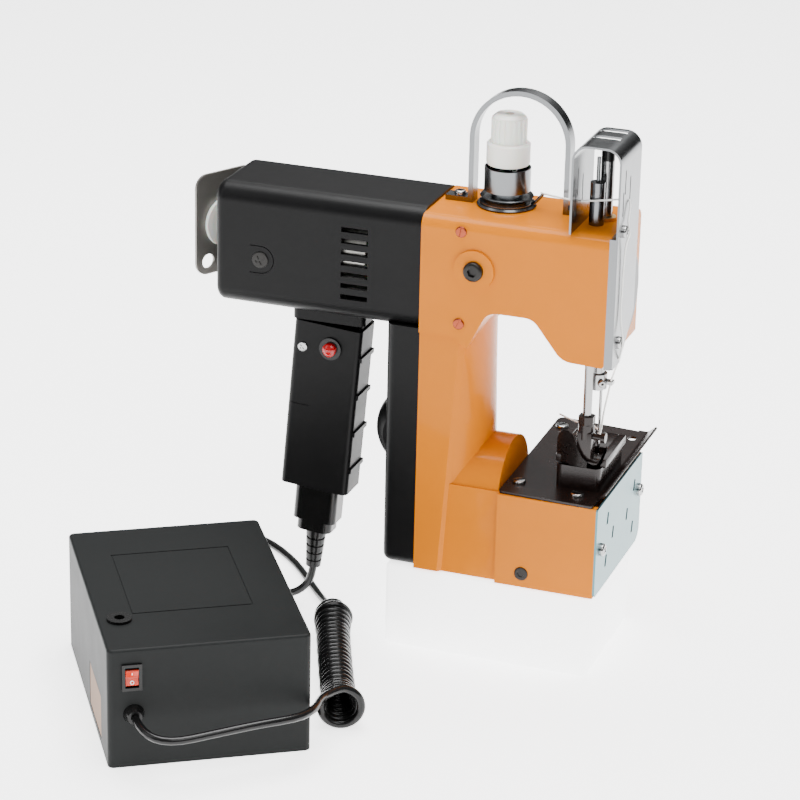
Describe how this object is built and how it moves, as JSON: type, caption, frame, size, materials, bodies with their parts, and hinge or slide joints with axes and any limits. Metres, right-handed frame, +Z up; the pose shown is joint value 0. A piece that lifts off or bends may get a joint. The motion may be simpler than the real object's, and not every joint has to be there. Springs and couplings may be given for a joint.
{
  "type": "bag closer sewing machine",
  "caption": "Portable bag closing machine: C-shaped sewing head with a pistol-grip motor unit, carrying bail, thread tension unit and a battery pack on a curly cord.",
  "frame": {"origin": "inner top of the carrying bail, where a spring balancer's hook holds the machine", "axes": "+X along the motor from the grip towards the needle, +Z up, -Y towards the operator's side with the start button"},
  "size_m": [0.312, 0.3419, 0.341],
  "materials": {
    "orange_enamel": "gloss enamel on cast aluminium",
    "black_moulding": "fine-textured satin moulding",
    "black_gloss": "smooth black plastic",
    "red_button": "smooth red plastic",
    "red_rocker": "translucent red plastic",
    "dark_insulator": "phenolic",
    "black_rubber": "glossy PVC",
    "electrical_steel": "lamination steel",
    "white_nylon": "natural nylon",
    "bearing_bronze": "sintered bronze",
    "bright_steel": "ground steel",
    "blued_steel": "blued, dark brown",
    "zinc_sheet": "blue-white zinc plate",
    "dull_sheet": "plain sheet steel",
    "chrome": "bright plate",
    "zinc_screws": "zinc plate",
    "copper_screws": "copper plate",
    "black_screws": "black oxide",
    "charcoal_case": "fine-textured satin moulding",
    "cell_wrap": "shrink wrap"
  },
  "bodies": {
    "machine": {"body_casting": "orange_enamel", "motor_housing": "black_moulding", "motor_end_cap": "black_moulding", "handle_shell_front": "black_moulding", "handle_shell_rear": "black_moulding", "button_collar": "black_gloss", "end_disc": "black_gloss", "rocker_bezel": "black_gloss", "charging_jack": "black_gloss", "switch_body": "dark_insulator", "inlet_socket": "dark_insulator", "connector": "black_rubber", "connector_relief": "black_rubber", "cord_grommet": "black_rubber", "cord_front": "black_rubber", "cord_coil": "black_rubber", "cord_tail": "black_rubber", "motor_stator": "electrical_steel", "spool_seat": "white_nylon", "bearing_bushes": "bearing_bronze", "motor_bearings": "bright_steel", "gear_plate": "bright_steel", "presser_spring": "bright_steel", "tension_spring": "bright_steel", "throat_plate": "blued_steel", "end_plate": "zinc_sheet", "spool_plate": "dull_sheet", "carry_bail": "chrome", "thread_guard": "chrome", "tension_post": "chrome", "tension_discs": "chrome", "tension_cup": "chrome", "thread_hook": "chrome", "pressure_tube": "chrome", "pan_screws": "zinc_screws", "flange_screws": "copper_screws", "socket_screws": "black_screws", "pack_base": "charcoal_case", "pack_lid": "charcoal_case", "battery_cells": "cell_wrap"},
    "drive_shaft": {"main_shaft": "bright_steel", "main_gear": "bright_steel"},
    "countershaft": {"counter_gear": "bright_steel"},
    "rotor": {"motor_rotor": "electrical_steel", "cooling_fan": "white_nylon", "motor_pinion": "bright_steel"},
    "needle_bar": {"needle_bar": "bright_steel", "needle_bar_yoke": "bright_steel", "needle_bar_cap": "black_gloss", "needle_clamp": "bright_steel", "needle": "bright_steel"},
    "looper_rod": {"looper_rod": "dark_insulator"},
    "looper_shaft": {"looper_shaft": "bright_steel", "looper": "bright_steel"},
    "feed_dog": {"feed_dog": "bright_steel"},
    "presser": {"presser_bar": "bright_steel", "presser_foot": "blued_steel"},
    "start_button": {"start_button": "red_button"},
    "rocker": {"rocker": "red_rocker"},
    "tension_knob": {"tension_knob": "white_nylon"}
  },
  "joints": [
    {"name": "drive_turn", "type": "hinge", "parent": "machine", "child": "drive_shaft", "pos_m": [0, -0.004, -0.101], "axis": [1, 0, 0], "range_deg": [0, 180]},
    {"name": "countershaft_turn", "type": "hinge", "parent": "machine", "child": "countershaft", "pos_m": [0, -0.004, -0.1275], "axis": [1, 0, 0], "range_deg": [-417, 0]},
    {"name": "rotor_turn", "type": "hinge", "parent": "machine", "child": "rotor", "pos_m": [0, -0.004, -0.101], "axis": [1, 0, 0], "range_deg": [0, 1281]},
    {"name": "needle_bar_slide", "type": "slide", "parent": "machine", "child": "needle_bar", "axis": [0, 0, -1], "range_m": [0, 0.02205]},
    {"name": "looper_rod_slide", "type": "slide", "parent": "machine", "child": "looper_rod", "axis": [0, 0, -1], "range_m": [0, 0.0061]},
    {"name": "looper_turn", "type": "hinge", "parent": "machine", "child": "looper_shaft", "pos_m": [0, -0.004, -0.256], "axis": [1, 0, 0], "range_deg": [-25, 0]},
    {"name": "feed_slide", "type": "slide", "parent": "machine", "child": "feed_dog", "axis": [0, 1, 0], "range_m": [0, 0.00405]},
    {"name": "presser_lift", "type": "slide", "parent": "machine", "child": "presser", "axis": [0, 0, 1], "range_m": [0, 0.006], "stiffness_N_per_m": 1200, "springref_m": -0.006, "deforming": ["presser_spring"]},
    {"name": "button_press", "type": "slide", "parent": "machine", "child": "start_button", "axis": [0, 1, 0], "range_m": [0, 0.003], "stiffness_N_per_m": 300, "springref_m": -0.001},
    {"name": "rocker_tilt", "type": "hinge", "parent": "machine", "child": "rocker", "pos_m": [-0.13884, -0.23409, -0.283], "axis": [0.8375, 0.5464, 0], "range_deg": [-14, 0]},
    {"name": "tension_turn", "type": "hinge", "parent": "machine", "child": "tension_knob", "pos_m": [-0.0079, 0, -0.026], "axis": [0, 0, 1], "continuous": true}
  ],
  "couplings": [
    {"joint": "countershaft_turn", "follows": "drive_turn", "ratio": -2.3125},
    {"joint": "rotor_turn", "follows": "drive_turn", "ratio": 7.1154},
    {"joint": "needle_bar_slide", "follows": "drive_turn", "m_per_rad": 0.0070028},
    {"joint": "looper_rod_slide", "follows": "drive_turn", "m_per_rad": 0.0019099},
    {"joint": "looper_turn", "follows": "drive_turn", "ratio": -0.13642},
    {"joint": "feed_slide", "follows": "drive_turn", "m_per_rad": 0.0012732}
  ]
}
